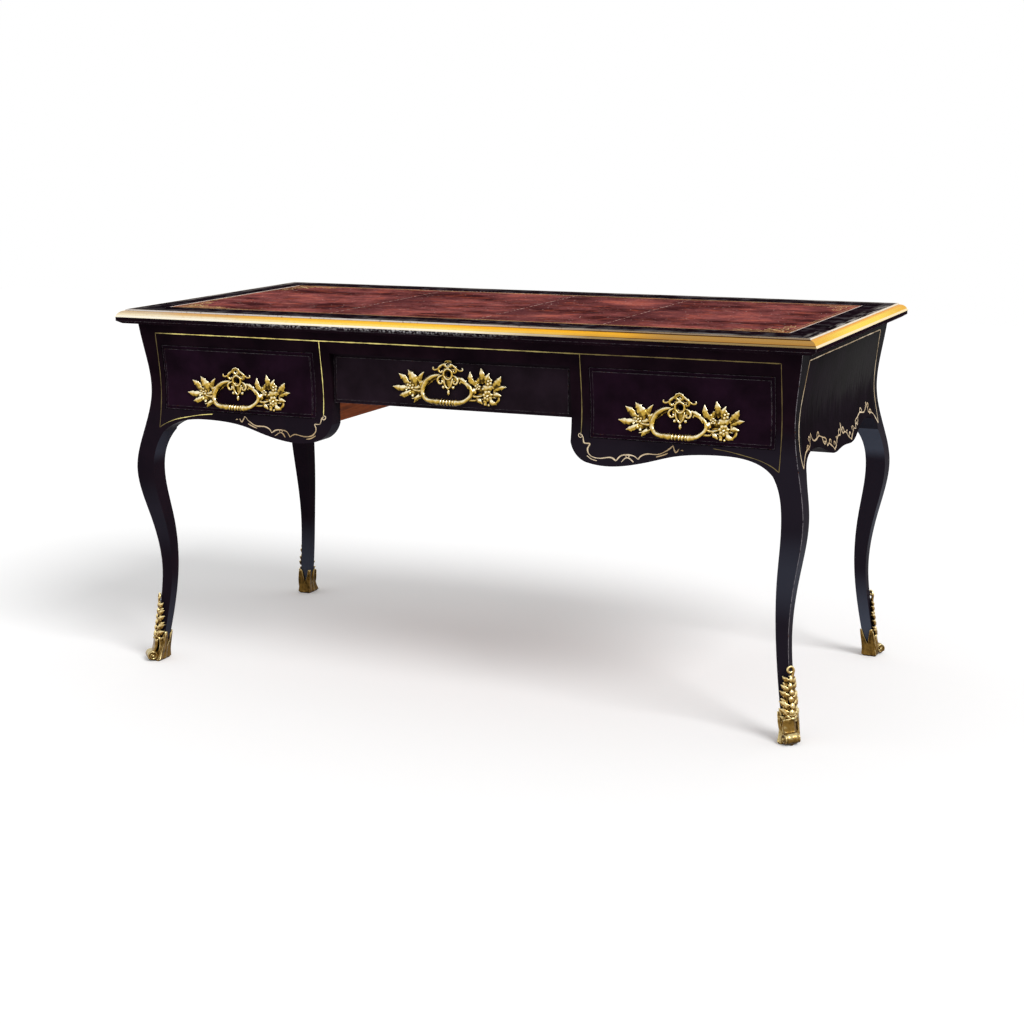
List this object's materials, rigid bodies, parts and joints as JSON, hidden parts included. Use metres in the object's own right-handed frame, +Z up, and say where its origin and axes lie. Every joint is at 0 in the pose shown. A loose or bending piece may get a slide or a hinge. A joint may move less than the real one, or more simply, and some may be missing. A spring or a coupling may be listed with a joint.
{
  "type": "writing desk",
  "caption": "Flat-topped writing desk on cabriole legs: ebonised wood, gilt-bronze mounts, a leather-lined top, deep drawers beside a kneehole and a shallow drawer over it.",
  "frame": {"origin": "on the floor, under the middle of the top", "axes": "+X to the right as seen from the drawer side, +Y to the back, +Z up"},
  "size_m": [1.54, 0.736, 0.78],
  "materials": {
    "ebonised_wood": "black polish, rubbed and worn at the edges",
    "gilt_bronze": "gilt, dark in the recesses",
    "tooled_leather": "worn, with gold tooling",
    "raw_oak": "unfinished",
    "lock_iron": "dull, oiled"
  },
  "bodies": {
    "carcass": {"back_panel": "ebonised_wood", "edge_moulding_back": "gilt_bronze", "edge_moulding_front": "gilt_bronze", "edge_moulding_left": "gilt_bronze", "edge_moulding_right": "gilt_bronze", "front_apron_left": "ebonised_wood", "front_apron_right": "ebonised_wood", "front_stile_left": "ebonised_wood", "front_stile_right": "ebonised_wood", "front_top_rail": "ebonised_wood", "kneehole_wall_left": "raw_oak", "kneehole_wall_right": "raw_oak", "leather_skin_1": "tooled_leather", "leather_skin_2": "tooled_leather", "leather_skin_3": "tooled_leather", "leather_skin_4": "tooled_leather", "leg_back_left": "ebonised_wood", "leg_back_right": "ebonised_wood", "leg_front_left": "ebonised_wood", "leg_front_right": "ebonised_wood", "runners_center": "raw_oak", "runners_left": "raw_oak", "runners_right": "raw_oak", "sabot_back_left": "gilt_bronze", "sabot_back_right": "gilt_bronze", "sabot_front_left": "gilt_bronze", "sabot_front_right": "gilt_bronze", "sham_fronts": "ebonised_wood", "sham_pulls": "gilt_bronze", "side_panel_left": "ebonised_wood", "side_panel_right": "ebonised_wood", "top_frame_back": "ebonised_wood", "top_frame_front": "ebonised_wood", "top_frame_left": "ebonised_wood", "top_frame_right": "ebonised_wood", "top_panel": "raw_oak"},
    "drawer_left": {"drawer_left_back": "raw_oak", "drawer_left_bottom": "raw_oak", "drawer_left_front": "ebonised_wood", "drawer_left_lock": "lock_iron", "drawer_left_pull": "gilt_bronze", "drawer_left_pull_nuts": "lock_iron", "drawer_left_side_left": "raw_oak", "drawer_left_side_right": "raw_oak"},
    "drawer_center": {"drawer_center_back": "raw_oak", "drawer_center_bottom": "raw_oak", "drawer_center_front": "ebonised_wood", "drawer_center_lock": "lock_iron", "drawer_center_pull": "gilt_bronze", "drawer_center_pull_nuts": "lock_iron", "drawer_center_side_left": "raw_oak", "drawer_center_side_right": "raw_oak"},
    "drawer_right": {"drawer_right_back": "raw_oak", "drawer_right_bottom": "raw_oak", "drawer_right_front": "ebonised_wood", "drawer_right_lock": "lock_iron", "drawer_right_pull": "gilt_bronze", "drawer_right_pull_nuts": "lock_iron", "drawer_right_side_left": "raw_oak", "drawer_right_side_right": "raw_oak"}
  },
  "joints": [
    {"name": "drawer_left_slide", "type": "slide", "parent": "carcass", "child": "drawer_left", "axis": [0, -1, 0], "range_m": [0, 0.33]},
    {"name": "drawer_center_slide", "type": "slide", "parent": "carcass", "child": "drawer_center", "axis": [0, -1, 0], "range_m": [0, 0.3]},
    {"name": "drawer_right_slide", "type": "slide", "parent": "carcass", "child": "drawer_right", "axis": [0, -1, 0], "range_m": [0, 0.33]}
  ]
}
